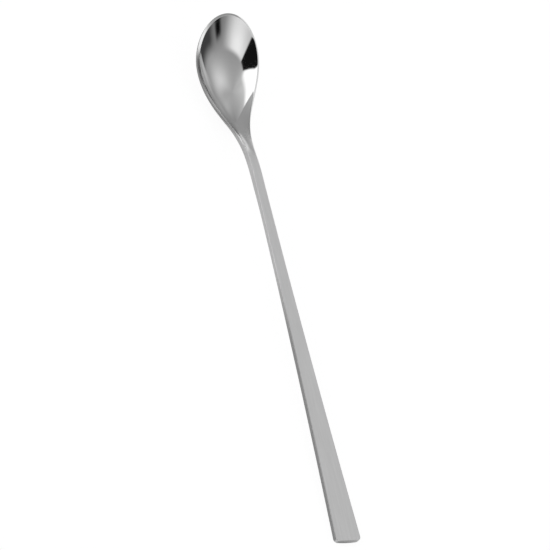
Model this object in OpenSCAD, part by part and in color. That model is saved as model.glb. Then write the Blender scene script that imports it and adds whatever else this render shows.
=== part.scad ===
// Iced tea spoon: a long flat handle, a bend at the neck and an egg-shaped bowl.
// X is across, Y runs along the spoon with the bowl at +Y, and Z is up.
// The spoon lies as it does on a table, on the belly of the bowl and the end of the handle,
// and the origin is under the middle of it.
// The shape is drawn in the handle's own frame, where s is the distance from the free end,
// and is then turned into that rest position.

/* [Overall] */
// Length along the handle's line, from its free end to the tip of the bowl
spoon_l = 200; // [185:1:215]

/* [Handle] */
// Width at the free end
end_w = 9.5; // [8:0.1:12]
// Thickness of the flat bar
end_t = 1.95; // [1.5:0.05:2.4]
// Radius of the two corners of the free end
corner_r = 1.25; // [0.8:0.05:2.5]
// How far the middle of the free end stands out beyond its corners
end_bulge = 0.3; // [0.1:0.05:0.8]
// Rounding of the long edges
edge_r = 0.3; // [0.15:0.05:0.45]

/* [Neck] */
// Width of the neck
neck_w = 3.4; // [2.8:0.1:5]
// Thickness of the neck where the bowl's outline leaves it
neck_t = 2.7; // [2:0.1:3.4]
// Distance over which the bar thickens towards the neck
thicken_l = 28; // [20:1:80]
// Distance over which the neck thins out into the edge of the bowl
thin_l = 16; // [12:1:30]
// Distance from the tip back to where the handle meets the neck and the bend begins
bend_l = 62; // [60:1:75]
// Distance over which the bend keeps the handle's direction
bend_reach = 25; // [20:0.5:32]

/* [Bowl] */
// Greatest width
bowl_w = 25.2; // [22:0.2:30]
// Distance from the tip to where the outline leaves the neck
bowl_l = 54.2; // [46:0.1:58]
// Distance from the tip to the widest place
wide_l = 14.7; // [13:0.1:18]
// Distance from the tip to the deepest place
deep_l = 23; // [20:0.5:26]
// Depth of the hollow below the rim
bowl_depth = 5; // [4.5:0.1:7]
// Thickness of the metal under the deepest place
floor_t = 1.2; // [0.9:0.1:1.6]
// Height of the rim, from its crest down to the start of the belly
rim_t = 1.25; // [1.2:0.05:1.5]
// Width of the slanting face round the rim, seen from above
rim_w = 1; // [0.8:0.05:1.3]
// How far that face falls from the crest to the outline
rim_fall = 0.85; // [0.6:0.05:0.9]
// Height of the rounding above and below the outline
rim_round = 0.15; // [0.05:0.05:0.15]
// Height of the tip's rim above the line of the handle's top face
tip_rise = 8.3; // [4:0.1:9]
// Slope of the rim at the tip, in degrees against the handle
tip_slope = 35.5; // [20:0.5:38]
// Distance over which the rim keeps the tip's slope
rim_reach = 41.5; // [34:0.5:44]

/* [Hidden] */

// Stations along the neck and the bowl, columns round a quarter of the tip, rows across the hollow
bowl_stations = 36;
tip_columns = 14;
hollow_rows = 8;
// Stations along the handle, columns round a corner and along half of the end
handle_stations = 24;
corner_columns = 5;
end_columns = 6;
// Steps round a rounded edge, and halvings that find a place on a curve
edge_steps = 3;
halvings = 30;

// How much faster the handle narrows near its free end than near the neck
flare_share = 0.78;
// How far along the bowl's shoulder the outline still follows the neck
neck_reach_share = 0.385;
// Radius of the ball whose cap gives the hollow its section, as a share of the half width
ball_share = 1.6;
// Angle whose sine spaces the rows closer together towards the rim
row_angle = 70;

end_hw = end_w / 2;
neck_hw = neck_w / 2;
bowl_hw = bowl_w / 2;
joint_s = spoon_l - bend_l;
root_s = spoon_l - bowl_l;
wide_s = spoon_l - wide_l;
deep_s = spoon_l - deep_l;

// Plain helpers
function mix(a, b, t) = a + (b - a) * t;
function smooth(t) = t <= 0 ? 0 : t >= 1 ? 1 : t * t * (3 - 2 * t);
function cubic(p, t) = p[0] * pow(1 - t, 3) + 3 * p[1] * t * pow(1 - t, 2)
    + 3 * p[2] * t * t * (1 - t) + p[3] * pow(t, 3);
// Where a curve that always rises reaches a value
function reach(p, value, low = 0, high = 1, n = halvings) =
    let (middle = (low + high) / 2)
    n == 0 ? middle
    : cubic(p, middle) < value ? reach(p, value, middle, high, n - 1)
    : reach(p, value, low, middle, n - 1);

// Outline of the handle: half its width at s, narrowing in a slow curve to the neck
function handle_half(s) = neck_hw + (end_hw - neck_hw) * (1 - s / root_s) * (1 - flare_share * s / root_s);

// Outline of the shoulder, from the neck to the widest place: along s, and across
neck_run = neck_reach_share * (wide_s - root_s);
neck_taper = (neck_hw - end_hw) * (1 - flare_share) / root_s;
shoulder_rise = bowl_hw - neck_hw - neck_run * neck_taper;
// This run makes the curve at the widest place as tight as the ellipse of the tip
wide_run = wide_l * sqrt(2 / 3 * shoulder_rise / bowl_hw);
shoulder_s = [root_s, root_s + neck_run, wide_s - wide_run, wide_s];
shoulder_x = [neck_hw, neck_hw + neck_run * neck_taper, bowl_hw, bowl_hw];

// Half the outline's width at a station between the joint and the widest place
function station_half(s) = s < root_s ? handle_half(s) : cubic(shoulder_x, reach(shoulder_s, s));

// Height of the top edge: level along the handle, then down through the bend and up to the tip
rim_s = [joint_s, joint_s + bend_reach, spoon_l - rim_reach * cos(tip_slope), spoon_l];
rim_z = [0, 0, tip_rise - rim_reach * sin(tip_slope), tip_rise];
function rim_height(s) = s <= joint_s ? 0 : cubic(rim_z, reach(rim_s, s));

// From 0 on the neck to 1 where the neck has become the edge of the bowl
function on_bowl(s) = smooth((s - root_s) / thin_l);

// Thickness of the handle and of the neck, and height of the bowl's rim
function side_t(s) = s < root_s ? mix(end_t, neck_t, smooth(1 - (root_s - s) / thicken_l))
    : mix(neck_t, rim_t, on_bowl(s));

// Cap of a ball: 1 in the middle and 0 at the edge, from the square of the distance
cap_base = sqrt(pow(ball_share, 2) - 1);
function cap(r2) = (sqrt(pow(ball_share, 2) - min(r2, 1)) - cap_base) / (ball_share - cap_base);

// How much of the depth is left along the spoon. The run behind the deepest place is the
// one in front times the root of 2, so that both sides curve alike where they meet.
function depth_left(s, front) =
    let (u = (s - deep_s) / front, v = min(1, -u / sqrt(2)))
    u > 0 ? 1 - u * u : pow(1 - v * v, 2);

// Drop below the rim at [x, s], for a dish that ends the distance inset inside the outline
function dish(x, s, half, inset) =
    let (front = deep_l - inset, a = bowl_hw - inset, b = wide_l - inset, v = (s - wide_s) / b,
         u = (s - deep_s) / front)
    s > wide_s ? cap(1 - (1 - pow(x / a, 2) - v * v) * b * (1 + u) / (front * (1 + v)))
    : cap(1 - depth_left(s, front) * (1 - pow(x / half, 2)));

function top_z(x, s, half) = rim_height(s) - bowl_depth * dish(x, s, half, rim_w);
belly_depth = bowl_depth + floor_t - rim_t;
function under_z(x, s, half) = rim_height(s) - side_t(s) - belly_depth * dish(x, s, half, edge_r);

// Width of the rim's face at a station: full on the bowl, less where the spoon is narrow
function face_w(half) = mix(edge_r, rim_w, half / bowl_hw);

// A point of an outline, the distance inset inside it. Each outline is a list of columns:
// [middle x, middle s, reach in x, reach in s, angle], round from the joint to the far end.
function outline_point(c, inset, side = 1) =
    [side * (c[0] + (c[2] - inset) * cos(c[4])), c[1] + (c[3] - sign(c[3]) * inset) * sin(c[4])];

// The edge from the rim's face to the underside, rounded above and below: [x, s, z] down one
// column. The face runs from the crest, the distance face inside the outline, down to the edge.
function edge_points(c, side, face) =
    let (s = outline_point(c, 0)[1], crest_z = rim_height(outline_point(c, face)[1]),
         top = rim_height(s) - rim_fall * on_bowl(s), bottom = rim_height(s) - side_t(s),
         round_h = mix(edge_r, rim_round, on_bowl(s)), step = 90 / edge_steps)
    concat(
        [for (i = [0 : edge_steps]) let (inset = edge_r * (1 - sin(i * step)))
            concat(outline_point(c, inset, side),
                [mix(top, crest_z, inset / face) - round_h * (1 - cos(i * step))])],
        [for (i = [0 : edge_steps]) concat(outline_point(c, edge_r * (1 - cos(i * step)), side),
            [bottom + round_h * (1 - sin(i * step))])]);

// A row across the dish: the share f of the way from the spine point to the outline
function dish_point(c, spine, f, inset, side) =
    let (p = outline_point(c, inset, side))
    [p[0] * f, mix(spine, p[1], f)];

// Bowl and neck
bowl_spine = [for (i = [0 : bowl_stations]) mix(joint_s, wide_s, i / bowl_stations)];
bowl_columns = concat(
    [for (s = bowl_spine) [0, s, station_half(s), 0, 0]],
    [for (i = [1 : tip_columns]) [0, wide_s, bowl_hw, wide_l, 90 * i / tip_columns]]);

function row_share(i) = sin(row_angle * i / hollow_rows) / sin(row_angle);

function bowl_column(j, side) =
    let (c = bowl_columns[j], spine = bowl_spine[min(j, bowl_stations)],
         face = c[4] > 0 ? rim_w : face_w(c[2]), half = c[2] - face, under_half = c[2] - edge_r)
    concat(
        [for (i = [1 : hollow_rows]) let (q = dish_point(c, spine, row_share(i), face, side))
            [q[0], q[1], top_z(q[0], q[1], half)]],
        edge_points(c, side, face),
        [for (i = [hollow_rows : -1 : 1])
            let (q = dish_point(c, spine, i / (hollow_rows + 1), edge_r, side))
            [q[0], q[1], under_z(q[0], q[1], under_half)]]);

// Handle: its columns run from the joint to the free end, so they start on the other side
end_circle_r = (pow(end_hw, 2) + pow(end_bulge, 2)) / (2 * end_bulge);
corner_s = end_circle_r - sqrt(pow(end_circle_r - corner_r, 2) - pow(end_hw - corner_r, 2));
corner_x = handle_half(corner_s) - corner_r;
corner_turn = acos(corner_x / (end_circle_r - corner_r));
handle_spine = [for (i = [0 : handle_stations]) mix(joint_s, corner_s, i / handle_stations)];
handle_columns = concat(
    [for (s = handle_spine) [0, s, handle_half(s), 0, 0]],
    [for (i = [1 : corner_columns])
        [corner_x, corner_s, corner_r, -corner_r, corner_turn * i / corner_columns]],
    [for (i = [1 : end_columns])
        [0, end_circle_r, end_circle_r, -end_circle_r, mix(corner_turn, 90, i / end_columns)]]);

// A closed skin. Columns run out from the joint along one side, round the far end and back
// along the other side; spine points close it on top and underneath.
function skin_points(tops, unders, near, far) = concat(tops, unders, [for (c = near) each c], [for (c = far) each c]);

function skin_faces(spine_n, columns_n, rows) =
    let (
        last = columns_n - 1,
        around = 2 * last,
        spine = function (u) min(u <= last ? u : around - u, spine_n - 1),
        point = function (u, k) k == 0 ? spine(u)
            : k > rows ? spine_n + spine(u)
            : 2 * spine_n + (u <= last ? u : columns_n + around - u) * rows + k - 1,
        quad = function (a, b, c, d) concat(a == b || b == c ? [] : [[a, b, c]], c == d || d == a ? [] : [[a, c, d]])
    )
    concat(
        [for (u = [0 : around - 1]) for (k = [0 : rows])
            each quad(point(u, k), point(u + 1, k), point(u + 1, k + 1), point(u, k + 1))],
        [for (k = [0 : rows / 2 - 1]) each concat(
            quad(point(0, k), point(0, k + 1), point(0, rows - k), point(0, rows + 1 - k)),
            quad(point(around, k), point(around, rows + 1 - k), point(around, rows - k), point(around, k + 1)))]);

bowl_raw = skin_points(
    [for (s = bowl_spine) [0, s, top_z(0, s, station_half(s))]],
    [for (s = bowl_spine) [0, s, under_z(0, s, station_half(s))]],
    [for (j = [0 : len(bowl_columns) - 1]) bowl_column(j, 1)],
    [for (j = [0 : len(bowl_columns) - 2]) bowl_column(j, -1)]);

handle_raw = skin_points(
    [for (s = handle_spine) [0, s, 0]],
    [for (s = handle_spine) [0, s, -side_t(s)]],
    [for (c = handle_columns) edge_points(c, -1, edge_r)],
    [for (j = [0 : len(handle_columns) - 2]) edge_points(handle_columns[j], 1, edge_r)]);

// Rest position: the handle turns about the heel of its underside until the belly is as low
heel = [edge_r, -end_t];
rest_turn = min([for (p = bowl_raw) atan2(p[2] - heel[1], p[1] - heel[0])]);
function turned_y(p) = (p[1] - heel[0]) * cos(rest_turn) + (p[2] - heel[1]) * sin(rest_turn);
function turned_z(p) = (p[2] - heel[1]) * cos(rest_turn) - (p[1] - heel[0]) * sin(rest_turn);
all_y = [for (p = concat(handle_raw, bowl_raw)) turned_y(p)];
middle_y = (min(all_y) + max(all_y)) / 2;
function at_rest(points) = [for (p = points) [p[0], turned_y(p) - middle_y, turned_z(p)]];

module bowl() {
    color("gainsboro")
        polyhedron(
            points = at_rest(bowl_raw),
            faces = skin_faces(len(bowl_spine), len(bowl_columns), 2 * (hollow_rows + edge_steps + 1)),
            convexity = 6);
}

module handle() {
    color("silver")
        polyhedron(
            points = at_rest(handle_raw),
            faces = skin_faces(len(handle_spine), len(handle_columns), 2 * (edge_steps + 1)),
            convexity = 4);
}

bowl();
handle();
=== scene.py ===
# %% [markdown]
# # An iced tea spoon, modelled and finished in Blender
#
# The spoon is long and slim. A flat bar of satin steel narrows to a neck, bends, and runs
# into a deep bowl that is polished like a mirror. The construction was settled in a CAD
# model, which is loaded first and fixes every size and place. This notebook builds the
# surfaces that a camera sees: smooth forms without facets, and steel that looks worked.

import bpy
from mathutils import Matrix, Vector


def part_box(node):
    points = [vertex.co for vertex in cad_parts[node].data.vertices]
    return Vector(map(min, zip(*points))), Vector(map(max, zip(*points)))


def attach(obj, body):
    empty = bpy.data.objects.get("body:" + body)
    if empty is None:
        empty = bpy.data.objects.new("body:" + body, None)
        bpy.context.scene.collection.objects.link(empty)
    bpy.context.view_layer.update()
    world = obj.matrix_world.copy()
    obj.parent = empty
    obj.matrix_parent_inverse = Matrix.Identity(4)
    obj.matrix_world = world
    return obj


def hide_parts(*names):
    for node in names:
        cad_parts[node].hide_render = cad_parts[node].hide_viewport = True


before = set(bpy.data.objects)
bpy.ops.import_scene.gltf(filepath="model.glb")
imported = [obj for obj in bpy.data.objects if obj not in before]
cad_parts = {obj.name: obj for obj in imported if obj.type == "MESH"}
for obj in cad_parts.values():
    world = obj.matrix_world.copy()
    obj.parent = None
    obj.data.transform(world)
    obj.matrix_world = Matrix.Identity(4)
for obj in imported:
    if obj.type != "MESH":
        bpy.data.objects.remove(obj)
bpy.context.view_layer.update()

# %% Tools
import math
from functools import lru_cache

import bmesh
import bpy
from mathutils import Matrix, Vector

MM = 0.001

# %% [markdown]
# ## Sizes
#
# The spoon is drawn lying along its own handle: x runs across, s runs from the free end to
# the tip of the bowl, and z is measured from the flat top of the handle. The real thing is
# cut from a strip, then bent and pressed, so a few lengths and three smooth curves say it
# all: the outline seen from above, the line of the rim seen from the side, and the dish.

# %% Driving sizes
SPOON_L = 200 * MM
END_W = 9.5 * MM
END_T = 1.95 * MM
CORNER_R = 1.25 * MM
END_BULGE = 0.3 * MM
EDGE_R = 0.3 * MM
NECK_W = 3.4 * MM
NECK_T = 2.7 * MM
THICKEN_L = 28 * MM
THIN_L = 16 * MM
BEND_L = 62 * MM
BEND_REACH = 25 * MM
BOWL_W = 25.2 * MM
BOWL_L = 54.2 * MM
WIDE_L = 14.7 * MM
DEEP_L = 23 * MM
BOWL_DEPTH = 5 * MM
FLOOR_T = 1.2 * MM
RIM_T = 1.25 * MM
RIM_W = 1 * MM
RIM_FALL = 0.85 * MM
RIM_ROUND = 0.15 * MM
TIP_RISE = 8.3 * MM
TIP_SLOPE = math.radians(35.5)
RIM_REACH = 41.5 * MM
FLARE_SHARE = 0.78
NECK_REACH_SHARE = 0.385
BALL_SHARE = 1.6

END_HALF, NECK_HALF, BOWL_HALF = END_W / 2, NECK_W / 2, BOWL_W / 2
JOINT_S = SPOON_L - BEND_L
ROOT_S = SPOON_L - BOWL_L
WIDE_S = SPOON_L - WIDE_L
DEEP_S = SPOON_L - DEEP_L

# %% [markdown]
# ## Curves
#
# Each curve is a Bézier with four control values, because its two ends then keep the
# direction that the neighbouring stretch has, and light runs over the join without a kink.
# A polished surface shows every kink, so that matters more here than on a painted thing.

# %% Outline, rim line and thickness
def mix(a, b, share):
    return a + (b - a) * share


def smooth(t):
    t = min(max(t, 0), 1)
    return t * t * (3 - 2 * t)


def bezier(p, t):
    left = 1 - t
    return p[0] * left**3 + 3 * p[1] * t * left**2 + 3 * p[2] * t * t * left + p[3] * t**3


HALVINGS = 30


@lru_cache(maxsize=None)
def bezier_at(along, across, s):
    """The value of one rising curve where another, which shares its parameter, reaches s."""
    low, high = 0.0, 1.0
    for _ in range(HALVINGS):
        middle = (low + high) / 2
        low, high = (middle, high) if bezier(along, middle) < s else (low, middle)
    return bezier(across, (low + high) / 2)


def handle_half(s):
    return NECK_HALF + (END_HALF - NECK_HALF) * (1 - s / ROOT_S) * (1 - FLARE_SHARE * s / ROOT_S)


NECK_RUN = NECK_REACH_SHARE * (WIDE_S - ROOT_S)
NECK_TAPER = (NECK_HALF - END_HALF) * (1 - FLARE_SHARE) / ROOT_S
SHOULDER_RISE = BOWL_HALF - NECK_HALF - NECK_RUN * NECK_TAPER
WIDE_RUN = WIDE_L * math.sqrt(2 / 3 * SHOULDER_RISE / BOWL_HALF)
SHOULDER_S = (ROOT_S, ROOT_S + NECK_RUN, WIDE_S - WIDE_RUN, WIDE_S)
SHOULDER_X = (NECK_HALF, NECK_HALF + NECK_RUN * NECK_TAPER, BOWL_HALF, BOWL_HALF)
RIM_S = (JOINT_S, JOINT_S + BEND_REACH, SPOON_L - RIM_REACH * math.cos(TIP_SLOPE), SPOON_L)
RIM_Z = (0.0, 0.0, TIP_RISE - RIM_REACH * math.sin(TIP_SLOPE), TIP_RISE)


def station_half(s):
    """Half the width of the outline, up to the widest place."""
    return handle_half(s) if s < ROOT_S else bezier_at(SHOULDER_S, SHOULDER_X, s)


def rim_height(s):
    return 0.0 if s <= JOINT_S else bezier_at(RIM_S, RIM_Z, s)


def on_bowl(s):
    """From 0 on the neck to 1 where the neck has become the edge of the bowl."""
    return smooth((s - ROOT_S) / THIN_L)


def side_t(s):
    """Thickness of the bar and of the neck, and height of the bowl's rim."""
    if s < ROOT_S:
        return mix(END_T, NECK_T, smooth(1 - (ROOT_S - s) / THICKEN_L))
    return mix(NECK_T, RIM_T, on_bowl(s))


print("widths in mm:", [round(2000 * station_half(JOINT_S + k * 8 * MM), 2) for k in range(7)])

# %% [markdown]
# ## The dish
#
# The hollow is pressed with a round punch, so its section is a cap of a ball, stretched to
# the outline. Along the spoon the depth dies away in a long ramp towards the neck and in a
# shorter one towards the tip, and both have the same curvature where they meet.
#
# The edge of the sheet is cut square to the sheet. The sheet stands up steeply at the rim,
# so the cut face slants outwards there, and from above it shows most on the near side.

# %% Hollow, belly and rim
def cap(r2):
    base = math.sqrt(BALL_SHARE**2 - 1)
    return (math.sqrt(BALL_SHARE**2 - min(r2, 1)) - base) / (BALL_SHARE - base)


def dish(x, s, half, inset):
    """Share of the full depth at a point, for a dish that ends inset inside the outline."""
    front, a, b = DEEP_L - inset, BOWL_HALF - inset, WIDE_L - inset
    u = (s - DEEP_S) / front
    if s > WIDE_S:
        v = (s - WIDE_S) / b
        return cap(1 - (1 - (x / a) ** 2 - v * v) * b * (1 + u) / (front * (1 + v)))
    depth_left = 1 - u * u if u > 0 else (1 - min(1, -u / math.sqrt(2)) ** 2) ** 2
    return cap(1 - depth_left * (1 - (x / (half - inset)) ** 2))


def face_w(half):
    """Width of the rim's face: full on the bowl, and less where the spoon is narrow."""
    return mix(EDGE_R, RIM_W, half / BOWL_HALF)


def face_drop(s, half, inset):
    """Drop of the rim's face below its crest, at the distance inset inside the outline."""
    return RIM_FALL * on_bowl(s) * (1 - min(inset / face_w(half), 1))


def corner_drop(s, inset):
    """Height that the rounded corners take from the edge."""
    share = 1 - min(inset / EDGE_R, 1)
    return mix(EDGE_R, RIM_ROUND, on_bowl(s)) * (1 - math.sqrt(1 - share**2))


def top_z(x, s, half, inset):
    hollow = BOWL_DEPTH * dish(x, s, half, face_w(half))
    return rim_height(s) - face_drop(s, half, inset) - corner_drop(s, inset) - hollow


def under_z(x, s, half, inset):
    belly = (BOWL_DEPTH + FLOOR_T - RIM_T) * dish(x, s, half, EDGE_R)
    return rim_height(s) - side_t(s) + corner_drop(s, inset) - belly


# %% [markdown]
# ## The bowl
#
# The bowl starts as a flat sheet that covers one half of the widest station, the shoulder
# and the neck. Its last half row is spun round to make the tip, which gives rings that run
# parallel to the rim. Each vertex remembers how far inside the outline it lies. Extruding
# the sheet gives the underside and the edge, and then both skins are pressed to height.

# %% Rings of the bowl
TINY = MM / 1000
RING_STEP = 0.32 * MM
STATION_STEP = 0.36 * MM
TIP_STEPS = 112
FACE_RINGS = 4
EDGE_SEGMENTS = 4
CREST_STEP = 0.06 * MM

DISH_RINGS = round((BOWL_HALF - RIM_W) / RING_STEP)
CREST_RING = DISH_RINGS + 1
RINGS = CREST_RING + 1 + FACE_RINGS + EDGE_SEGMENTS
STATIONS = round((WIDE_S - JOINT_S) / STATION_STEP)


def ring_distance(ring, half):
    """Distance from the spine to a ring, in the hollow, on the rim's face or round its corner."""
    crest = half - face_w(half)
    if ring <= DISH_RINGS:
        return (crest - CREST_STEP) * ring / DISH_RINGS
    if ring == CREST_RING:
        return crest
    on_face = ring - CREST_RING - 1
    if on_face <= FACE_RINGS:
        return mix(crest + CREST_STEP, half - EDGE_R, on_face / FACE_RINGS)
    turn = math.pi / 2 * (on_face - FACE_RINGS) / EDGE_SEGMENTS
    return half - EDGE_R * (1 - math.sin(turn))


def outline_half(v):
    """Half the outline's width at a vertex of the plan."""
    return BOWL_HALF if v.co.y > WIDE_S else station_half(v.co.y)


# %% Flat plan of the bowl
def bowl_plan():
    bm = bmesh.new()
    bmesh.ops.create_grid(bm, x_segments=2 * RINGS, y_segments=STATIONS, size=1)
    for v in bm.verts:
        ring = round(v.co.x * RINGS)
        s = mix(JOINT_S, WIDE_S, (v.co.y + 1) / 2)
        v.co = Vector((math.copysign(ring_distance(abs(ring), station_half(s)), ring), s, 0))
    half_row = [v for v in bm.verts if v.co.y > WIDE_S - TINY and v.co.x > -TINY]
    row_edges = [e for e in bm.edges if e.verts[0] in half_row and e.verts[1] in half_row]
    bmesh.ops.spin(bm, geom=half_row + row_edges, cent=(0, WIDE_S, 0), axis=(0, 0, 1),
                   angle=math.pi, steps=TIP_STEPS, use_merge=False, use_duplicate=False)
    bmesh.ops.remove_doubles(bm, verts=bm.verts, dist=TINY)
    return bm


def note_insets(bm):
    """Writes on each vertex how far inside the outline it lies."""
    inset = bm.verts.layers.float.new("inset")
    for v in bm.verts:
        from_side = outline_half(v) - math.hypot(v.co.x, max(v.co.y - WIDE_S, 0))
        v[inset] = max(min(from_side, v.co.y), 0)
    return inset


def squash_tip(bm):
    """Presses the round tip into an ellipse, and keeps the face of the rim equally wide."""
    inner = BOWL_HALF - RIM_W
    for v in bm.verts:
        if v.co.y > WIDE_S + TINY:
            r = math.hypot(v.co.x, v.co.y - WIDE_S)
            reach = r * (WIDE_L - RIM_W) / inner if r < inner else WIDE_L - BOWL_HALF + r
            v.co.y = WIDE_S + (v.co.y - WIDE_S) * reach / r


# %% Thickness and pressing
def thicken(bm):
    """Extrudes a flat plan downwards. Returns the underside's vertices and the outline's edges."""
    top = set(bm.faces)
    made = bmesh.ops.extrude_face_region(bm, geom=list(top), use_keep_orig=True)["geom"]
    under = {f for f in made if isinstance(f, bmesh.types.BMFace)}
    walls = set(bm.faces) - top - under
    outline = [e for e in bm.edges if sum(f in walls for f in e.link_faces) == 1]
    return {v for f in under for v in f.verts}, outline


def bowl_drawing():
    bm = bowl_plan()
    inset = note_insets(bm)
    squash_tip(bm)
    under, _ = thicken(bm)
    for v in bm.verts:
        shape = under_z if v in under else top_z
        v.co.z = shape(v.co.x, v.co.y, outline_half(v), v[inset])
    crest = [v for v in bm.verts
             if v not in under and abs(v[inset] - face_w(outline_half(v))) < TINY]
    bmesh.ops.smooth_vert(bm, verts=crest, factor=0.5, use_axis_z=True)
    return bm


def say_made(name, bm):
    open_edges = sum(not e.is_manifold for e in bm.edges)
    print(name, len(bm.verts), "vertices, open edges:", open_edges)


bowl_bm = bowl_drawing()
say_made("bowl:", bowl_bm)

# %% [markdown]
# ## The handle
#
# The handle is a bar with flat faces and a slow taper. It starts as one rectangle, its two
# free corners are rounded, and cuts across it give the places where the outline can bend.
# It is made too long and cut to length last, as bar stock is, so the cut that meets the
# bowl is flat and square, and closed. A belt never grinds quite flat, so the top gets a
# crown of less than a tenth of a millimetre, which the light shows and a rule doesn't.

# %% The flat bar
SPARE_L = 4 * MM
CUT_STEP = 1.5 * MM
END_CUTS = 10
CORNER_SEGMENTS = 10
HOLD_W = 0.06 * MM
BULGE_FADE = 4 * CORNER_R
CROWN = 0.08 * MM
CROWN_END_S = 60 * MM


def cut_across(bm, place, normal):
    geom = list(bm.verts) + list(bm.edges) + list(bm.faces)
    bmesh.ops.bisect_plane(bm, geom=geom, plane_co=place, plane_no=normal, dist=TINY / 10)


def handle_plan():
    bm = bmesh.new()
    bmesh.ops.create_grid(bm, x_segments=1, y_segments=1, size=1)
    long_l = JOINT_S + SPARE_L
    for v in bm.verts:
        v.co = Vector((v.co.x * END_HALF, long_l * (v.co.y + 1) / 2, 0))
    corners = [v for v in bm.verts if v.co.y < TINY]
    bmesh.ops.bevel(bm, geom=corners, offset=CORNER_R, offset_type="OFFSET", affect="VERTICES",
                    segments=CORNER_SEGMENTS, profile=0.5, material=-1)
    for i in range(1, END_CUTS):
        x = mix(-END_HALF + CORNER_R, END_HALF - CORNER_R, i / END_CUTS)
        cut_across(bm, (x, 0, 0), (1, 0, 0))
    stations = int((long_l - CORNER_R) / CUT_STEP)
    for i in range(stations):
        cut_across(bm, (0, CORNER_R + i * CUT_STEP, 0), (0, 1, 0))
    for v in bm.verts:
        share = v.co.x / END_HALF
        v.co.x = share * handle_half(v.co.y)
        v.co.y += END_BULGE * share**2 * (1 - smooth(v.co.y / BULGE_FADE))
    return bm


def handle_drawing():
    bm = handle_plan()
    under, outline = thicken(bm)
    for v in bm.verts:
        fade = 1 - smooth((v.co.y - CROWN_END_S) / (JOINT_S - CROWN_END_S))
        v.co.z = -side_t(v.co.y) if v in under else -CROWN * fade * (v.co.x / END_HALF) ** 4
    bm.normal_update()
    flats = [f for f in bm.faces if abs(f.normal.z) > 0.5]
    bmesh.ops.inset_region(bm, faces=flats, thickness=EDGE_R + HOLD_W, use_even_offset=True)
    bmesh.ops.bevel(bm, geom=[e for e in outline if e.is_valid], offset=EDGE_R,
                    offset_type="OFFSET", affect="EDGES", segments=EDGE_SEGMENTS, profile=0.5,
                    material=-1, clamp_overlap=False)
    cut = bmesh.ops.bisect_plane(bm, geom=list(bm.verts) + list(bm.edges) + list(bm.faces),
                                 plane_co=(0, JOINT_S, 0), plane_no=(0, 1, 0), clear_outer=True)
    rim = [e for e in cut["geom_cut"] if isinstance(e, bmesh.types.BMEdge)]
    bmesh.ops.contextual_create(bm, geom=rim)
    note_insets(bm)
    return bm


handle_bm = handle_drawing()
say_made("handle:", handle_bm)

# %% [markdown]
# ## From the drawing to the table
#
# At rest the spoon lies on the heel of its handle and the belly of its bowl, so the whole
# drawing is turned by the few degrees that bring both down to the table, and its middle is
# put over the origin, as the CAD model has it.

# %% Rest position
HEEL = Vector((0, EDGE_R, -END_T))
REST_TURN = min(math.atan2(v.co.z - HEEL.z, v.co.y - HEEL.y) for v in bowl_bm.verts)
turn = Matrix.Rotation(-REST_TURN, 4, "X") @ Matrix.Translation(-HEEL)
for drawing in (bowl_bm, handle_bm):
    bmesh.ops.transform(drawing, matrix=turn, verts=drawing.verts)
reach = [v.co.y for drawing in (bowl_bm, handle_bm) for v in drawing.verts]
to_middle = Matrix.Translation((0, -(min(reach) + max(reach)) / 2, 0))
for drawing in (bowl_bm, handle_bm):
    bmesh.ops.transform(drawing, matrix=to_middle, verts=drawing.verts)
    bmesh.ops.recalc_face_normals(drawing, faces=drawing.faces)
print("the drawing turned by", round(math.degrees(REST_TURN), 3), "degrees")


# %% Two pieces
SHARP_ANGLE = math.radians(50)


def in_mm(box):
    return [[round(x / MM, 3) for x in corner] for corner in box]


def as_piece(bm, name, node):
    mesh = bpy.data.meshes.new(name)
    bm.to_mesh(mesh)
    bm.free()
    mesh.shade_smooth()
    mesh.set_sharp_from_angle(angle=SHARP_ANGLE)
    piece = bpy.data.objects.new(name, mesh)
    bpy.context.scene.collection.objects.link(piece)
    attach(piece, "root")
    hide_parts(node)
    box = [[f(v.co[i] for v in mesh.vertices) for i in range(3)] for f in (min, max)]
    print(name, "box in mm", in_mm(box), "CAD", in_mm(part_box(node)))
    return piece


bowl = as_piece(bowl_bm, "polished_bowl", "bowl")
handle = as_piece(handle_bm, "satin_handle", "handle")


# %% [markdown]
# ## Shader maths in plain Python
#
# A material here is a formula on places: how far along the spoon, how far from its edge.
# Formulas read best as formulas, so a small class wraps a node's output and turns Python's
# operators into Math nodes. Everything else is added by one method that takes a node's
# type, its settings and what goes into its sockets.

# %% A wire and its graph
class Wire:
    """A node's output. Arithmetic with it adds Math nodes."""

    def __init__(self, graph, socket):
        self.graph, self.socket = graph, socket

    def math(self, operation, *values):
        inputs = dict(enumerate(values))
        return self.graph.add("ShaderNodeMath", {"operation": operation}, inputs)["Value"]

    def __add__(self, other):
        return self.math("ADD", self, other)

    def __sub__(self, other):
        return self.math("SUBTRACT", self, other)

    def __rsub__(self, other):
        return self.math("SUBTRACT", other, self)

    def __mul__(self, other):
        return self.math("MULTIPLY", self, other)

    def __truediv__(self, other):
        return self.math("DIVIDE", self, other)

    def __pow__(self, other):
        return self.math("POWER", self, other)

    __radd__, __rmul__ = __add__, __mul__


class Graph:
    """The nodes of a material or a world."""

    def __init__(self, owner):
        owner.use_nodes = True
        self.owner, self.tree = owner, owner.node_tree
        self.tree.nodes.clear()

    def add(self, kind, settings=None, inputs=None):
        """Adds a node, sets it up and fills its sockets. Returns its outputs by name."""
        node = self.tree.nodes.new(kind)
        for name, value in (settings or {}).items():
            setattr(node, name, value)
        for name, value in (inputs or {}).items():
            socket = node.inputs[name]
            if isinstance(value, Wire):
                self.tree.links.new(value.socket, socket)
            else:
                socket.default_value = value
        return {s.name: Wire(self, s) for s in node.outputs if s.enabled}


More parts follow.
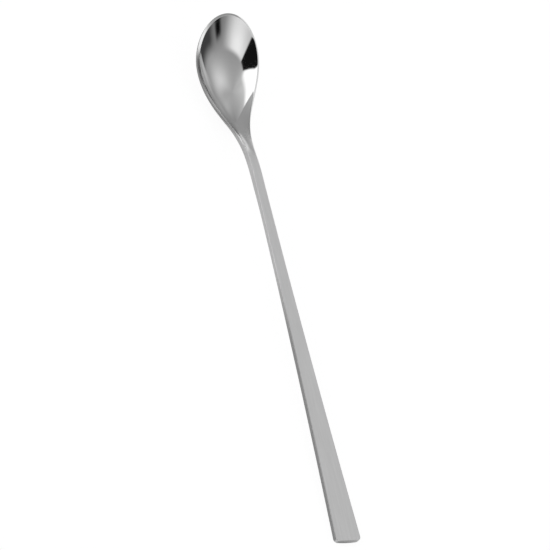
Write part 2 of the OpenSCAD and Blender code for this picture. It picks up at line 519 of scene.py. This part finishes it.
def rise(x, low, high):
    """From 0 to 1 as x goes from low to high, with soft ends."""
    return x.graph.add("ShaderNodeMapRange", {"interpolation_type": "SMOOTHSTEP"},
                       {"Value": x, "From Min": low, "From Max": high})["Result"]


def bell(x, middle, width, power=2):
    """1 at the middle and falling away on both sides, flatter on top for a higher power."""
    distance = x.math("ABSOLUTE", (x - middle) / width)
    return x.math("EXPONENT", 0 - distance**power)


def grey(value):
    """A colour with the same value in all three channels."""
    channels = {"Red": value, "Green": value, "Blue": value}
    return value.graph.add("ShaderNodeCombineColor", None, channels)["Color"]


print("shader maths is ready")

# %% [markdown]
# ## The steel
#
# The spoon is stainless steel without any plating, so there is one metal and two finishes.
# The bowl is buffed to a mirror, with a faint haze from use. The handle is left satin: a
# belt drawn along it leaves fine lengthwise lines, which the buffing wheel removes bit by
# bit from the neck into the shoulder of the bowl. The satin's tone is set paler than the
# mirror's, because in this tent's light it would come out too dark beside the bowl. One
# recipe covers both pieces, because the change of finish lies on the bowl's piece and
# nobody may see where the two meet. The distance to the outline tells where the cut sides
# are, which get painted shade that is strongest towards the handle's end, and the rim's
# face, which is less polished than the hollow and gets a slightly darker tone as painted
# shade.

# %% Lines, smudges and cut edges
SATIN_TONE, MIRROR_TONE = 0.9, 0.74
SATIN_ROUGH, MIRROR_ROUGH = 0.42, 0.06
SATIN_END_Y, MIRROR_START_Y = 44 * MM, 70 * MM
POLISH_RAGGED = 4 * MM
# These set the painted shade on the cut sides: strongest near the outline and towards the handle's
# end.
SIDE_SHADE_STRONG_Y, SIDE_SHADE_WEAK_Y = -30 * MM, 5 * MM
SIDE_SHADE_FULL, SIDE_SHADE_GONE = 0.05 * MM, 0.42 * MM
FACE_END, HOLLOW_START = 0.96 * MM, 1.04 * MM
BUMP_UNIT = MM / 1000


def along_the_spoon(graph, across, along):
    """Noise that is stretched along the spoon, by its two frequencies in cycles per metre."""
    place = graph.add("ShaderNodeTexCoord")["Object"]
    scale = (across, along, across)
    stretched = graph.add("ShaderNodeMapping", None, {"Vector": place, "Scale": scale})["Vector"]
    noise = graph.add("ShaderNodeTexNoise", None, {"Vector": stretched, "Scale": 1, "Detail": 3})
    return noise["Fac"] - 0.5


def axis(graph, name):
    """One coordinate of the place on the object, in metres."""
    place = graph.add("ShaderNodeTexCoord")["Object"]
    return graph.add("ShaderNodeSeparateXYZ", None, {"Vector": place})[name]


def polish(graph):
    """From 0 on the satin neck to 1 in the mirror of the bowl."""
    return rise(axis(graph, "Y") + along_the_spoon(graph, across=200, along=200) * POLISH_RAGGED,
                SATIN_END_Y, MIRROR_START_Y)


def painted_side_shade(graph, inset):
    """Painted shade: from 0 to 1 on the cut sides and their rounded edges, and more towards the
    handle's end than at the neck.
    """
    on_side = 1 - rise(inset, SIDE_SHADE_FULL, SIDE_SHADE_GONE)
    return on_side * (1 - rise(axis(graph, "Y"), SIDE_SHADE_STRONG_Y, SIDE_SHADE_WEAK_Y) * 0.9)


def steel(name):
    graph = Graph(bpy.data.materials.new(name))
    shine = polish(graph)
    inset = graph.add("ShaderNodeAttribute", {"attribute_name": "inset"})["Fac"]
    # rim_face marks the rim's face: it is rougher than the hollow, and its tone is lowered as
    # painted shade that dims its reflection.
    rim_face = shine * (1 - rise(inset, FACE_END, HOLLOW_START))
    mirror = shine - rim_face
    lines = along_the_spoon(graph, across=1500, along=35)
    smudge = along_the_spoon(graph, across=140, along=90)
    tone = mix(SATIN_TONE, MIRROR_TONE, shine) + smudge * 0.05 + lines * mix(0.13, 0.01, shine)
    # Painted shade: the cut sides and their rounded edges are darkened, most towards the handle's
    # end, and the rim's face a little, to dim what they reflect.
    tone = tone - painted_side_shade(graph, inset) * 0.42 - rim_face * 0.1
    rough = mix(SATIN_ROUGH, MIRROR_ROUGH, mirror) + smudge * mix(0.06, 0.03, shine)
    rough = rough + lines * mix(0.10, 0.02, shine) - rim_face * 0.22
    dents = along_the_spoon(graph, across=110, along=70)
    height = dents * mix(0, 6, shine) + lines * mix(3.2, 0.10, shine)
    bump = graph.add("ShaderNodeBump", None, {
        "Strength": 1, "Distance": BUMP_UNIT, "Height": height})["Normal"]
    shader = graph.add("ShaderNodeBsdfPrincipled", None, {
        "Base Color": grey(tone), "Metallic": 1, "Roughness": rough, "Normal": bump})["BSDF"]
    graph.add("ShaderNodeOutputMaterial", None, {"Surface": shader})
    print(name, "has", len(graph.tree.nodes), "nodes")
    return graph.owner


bowl.data.materials.append(steel("mirror_steel"))
handle.data.materials.append(steel("satin_steel"))

# %% Camera
CAMERA_AZIMUTH, CAMERA_ELEVATION, CAMERA_ROLL = map(math.radians, (-45.605, 48.257, 38.226))
CAMERA_DISTANCE = 0.9
AIM_RIGHT, AIM_UP = 0.488 * MM, 2.378 * MM
FOCAL_PX, FRAME_PX, SENSOR_MM = 2626.23, 550, 36

back = Vector((math.sin(CAMERA_AZIMUTH) * math.cos(CAMERA_ELEVATION),
               -math.cos(CAMERA_AZIMUTH) * math.cos(CAMERA_ELEVATION), math.sin(CAMERA_ELEVATION)))
level = Vector((math.cos(CAMERA_AZIMUTH), math.sin(CAMERA_AZIMUTH), 0))
turned = Matrix.Rotation(CAMERA_ROLL, 3, back)
right, up = turned @ level, turned @ back.cross(level)
camera_data = bpy.data.cameras.new("camera")
camera_data.sensor_width = SENSOR_MM
camera_data.lens = FOCAL_PX / FRAME_PX * SENSOR_MM
camera = bpy.data.objects.new("camera", camera_data)
bpy.context.scene.collection.objects.link(camera)
place = right * AIM_RIGHT + up * AIM_UP + back * CAMERA_DISTANCE
camera.matrix_world = Matrix.Translation(place) @ Matrix((right, up, back)).transposed().to_4x4()
bpy.context.scene.camera = camera
print("lens in mm:", round(camera_data.lens, 2))

# %% [markdown]
# ## The light tent
#
# A mirror has no look of its own, it shows the room. Small shiny things are photographed in
# a tent of white cloth: the walls glow evenly, and black and white cards are hung in it to
# draw the form. Here the tent is a dome over the table, and its lights and cards are
# painted on it by direction, seen from the bowl: turn is the compass angle, 0 towards the
# free end of the handle and 90 to the right of it, and up is the angle above the table. The
# camera looks through the dome, and so its own place can change without a trace.

# %% The dome
TENT_R = 3
TENT_MIDDLE = Vector((0, 75 * MM, 0))
TENT_SEGMENTS, TENT_RINGS = 64, 32


def staged(name, bm):
    mesh = bpy.data.meshes.new(name)
    bm.to_mesh(mesh)
    bm.free()
    obj = bpy.data.objects.new(name, mesh)
    bpy.context.scene.collection.objects.link(obj)
    return obj


bm = bmesh.new()
bmesh.ops.create_uvsphere(bm, u_segments=TENT_SEGMENTS, v_segments=TENT_RINGS, radius=TENT_R,
                          matrix=Matrix.Translation(TENT_MIDDLE))
cut_across(bm, (0, 0, -TINY), (0, 0, 1))
bmesh.ops.delete(bm, geom=[v for v in bm.verts if v.co.z < -2 * TINY], context="VERTS")
bmesh.ops.reverse_faces(bm, faces=bm.faces)
tent = staged("light_tent", bm)
tent.visible_camera = False
print("the tent has", len(tent.data.polygons), "faces")


# %% Lights and cards on the tent
BOX_LIGHT, CARD_LIGHT, ROOM_LIGHT = 1.4, 0.008, 0.06


def tent_cloth(turn, up):
    """The grey cloth: a lamp's glow behind it, a faint one on the right, and a low band."""
    glow = bell(turn, 70, 32) * bell(up + turn * 0.34, 70, 20)
    over_handle = bell(turn, 132, 30) * bell(up, 50, 18)
    low_band = bell(turn, 132, 30, 4) * (1 - rise(up, 10, 22))
    return mix(0.31, 0.48, rise(up, 20, 80)) + glow * 0.42 + over_handle * 0.13 + low_band * 0.8


def light_box(turn, up, light):
    """A large round diffuser on the left, with a halo on the cloth above it."""
    reach = ((turn + 62) / 112) ** 2 + ((up + 57) / 121.5) ** 2
    halo = reach.math("EXPONENT", reach.math("MAXIMUM", reach - 1, 0) * -3.5) * rise(up, 15, 30)
    halo = halo * mix(0.4, 0.21, rise(turn, -115, -70)) * (1 - rise(turn, -55, 0))
    bottom_edge = rise(up - turn * 0.36, 63, 70)
    box = rise(reach * -1, -1.07, -0.93) * (1 - rise(turn, -56, -28)) * bottom_edge
    return mix(light + halo, BOX_LIGHT, box)


def bright_wall(turn, up, light):
    """A lit sheet near the handle's end, cut off by a slanting edge and fading to the right."""
    below_edge = up * -1 - turn * 0.395 + 48.65
    sheet = bell(turn, 10, 16) * 0.27 + bell(below_edge, 5, 9) * 0.2 + 0.64
    side = rise(turn, -20, -16) * (1 - rise(turn, 18, 43))
    return mix(light, sheet, side * rise(below_edge, -2.5, 2.5))


def black_card(turn, up, light):
    """A black card in front of the light box, clear of the table, with a corner at the top."""
    right_edge = 1 - rise(turn - up * 0.3, -28.7, -24.2)
    off_corner = (turn + 36.5).math("ABSOLUTE", turn + 36.5)
    top_edge = rise(up + off_corner * 0.17 + off_corner**2 * 0.0042, 61.9, 59.3)
    bottom_edge = rise(up + turn * 0.14, 21.5, 27.5)
    left_edge = rise(turn, -85, -78)
    return mix(light, CARD_LIGHT, right_edge * top_edge * bottom_edge * left_edge)


def dark_gaps(turn, up, light):
    """A slit between two cloths, and the dark room below the tent's front edge."""
    slit = bell(turn + up * 0.27, 52, 4.6, 4) * bell(up, 18, 6.3, 4)
    shade = bell(turn, 45, 13, 4) * (1 - rise(up, 20, 34))
    room = rise(up + turn * 0.38, 50.5, 39.5) * rise(turn, 50, 64) * (1 - rise(turn, 92, 98))
    return mix(light * (1 - shade * 0.22) * (1 - slit * 0.99), ROOM_LIGHT, room)


# %% Painting the tent
graph = Graph(bpy.data.materials.new("tent_cloth"))
place = graph.add("ShaderNodeTexCoord")["Object"]
from_bowl = graph.add("ShaderNodeVectorMath", {"operation": "SUBTRACT"}, {
    0: place, 1: TENT_MIDDLE})["Vector"]
direction = graph.add("ShaderNodeVectorMath", {"operation": "NORMALIZE"}, {
    0: from_bowl})["Vector"]
xyz = graph.add("ShaderNodeSeparateXYZ", None, {"Vector": direction})
turn = xyz["X"].math("ARCTAN2", xyz["X"], xyz["Y"] * -1) * math.degrees(1)
up = xyz["Z"].math("ARCSINE", xyz["Z"]) * math.degrees(1)

light = tent_cloth(turn, up)
for add_light in (light_box, bright_wall, black_card, dark_gaps):
    light = add_light(turn, up, light)
shader = graph.add("ShaderNodeBsdfPrincipled", None, {
    "Base Color": (0, 0, 0, 1), "Roughness": 1, "Specular IOR Level": 0,
    "Emission Color": grey(light), "Emission Strength": 1})["BSDF"]
graph.add("ShaderNodeOutputMaterial", None, {"Surface": shader})
tent.data.materials.append(graph.owner)
print("tent cloth has", len(graph.tree.nodes), "nodes")

# %% [markdown]
# ## Table and background
#
# The table is white and so is everything behind it, so that only the spoon draws the eye.
# The camera sees mostly a glow of the table's own, strong enough to come out white, and
# some of the plain white cloth, which keeps the spoon's soft shadow. The metal sees that
# glow on the right, and less of it on the left, as the sides of the spoon show.

# %% Table
TABLE_HALF = 1.5 * TENT_R
TABLE_GLOW = 1.14
SEEN_SHARE, METAL_LEFT_SHARE, METAL_RIGHT_SHARE = 0.8, 0.1, 0.8

bm = bmesh.new()
bmesh.ops.create_grid(bm, x_segments=1, y_segments=1, size=TABLE_HALF)
table = staged("table", bm)
graph = Graph(bpy.data.materials.new("white_table"))
ray = graph.add("ShaderNodeLightPath")
on_right = rise(axis(graph, "X"), -3 * MM, 10 * MM)
for_metal = ray["Is Glossy Ray"] * mix(METAL_LEFT_SHARE, METAL_RIGHT_SHARE, on_right)
glow = ray["Is Camera Ray"] * SEEN_SHARE + ray["Is Transmission Ray"] * SEEN_SHARE + for_metal
cloth = graph.add("ShaderNodeBsdfDiffuse", None, {"Color": (0.85, 0.85, 0.85, 1)})["BSDF"]
white = graph.add("ShaderNodeEmission", None, {
    "Color": (1, 1, 1, 1), "Strength": TABLE_GLOW})["Emission"]
surface = graph.add("ShaderNodeMixShader", None, {0: glow, 1: cloth, 2: white})["Shader"]
graph.add("ShaderNodeOutputMaterial", None, {"Surface": surface})
table.data.materials.append(graph.owner)
print("the table has", len(graph.tree.nodes), "nodes")

# %% Background
world = bpy.data.worlds.new("studio")
bpy.context.scene.world = world
graph = Graph(world)
ray = graph.add("ShaderNodeLightPath")
seen = ray["Is Camera Ray"] + ray["Is Glossy Ray"] + ray["Is Transmission Ray"]
strength = mix(0.5, 1, seen.math("MINIMUM", seen, 1))
sky = graph.add("ShaderNodeBackground", None, {
    "Color": (1, 1, 1, 1), "Strength": strength})["Background"]
graph.add("ShaderNodeOutputWorld", None, {"Surface": sky})
bpy.context.scene.view_settings.view_transform = "Standard"
print("the background is white")
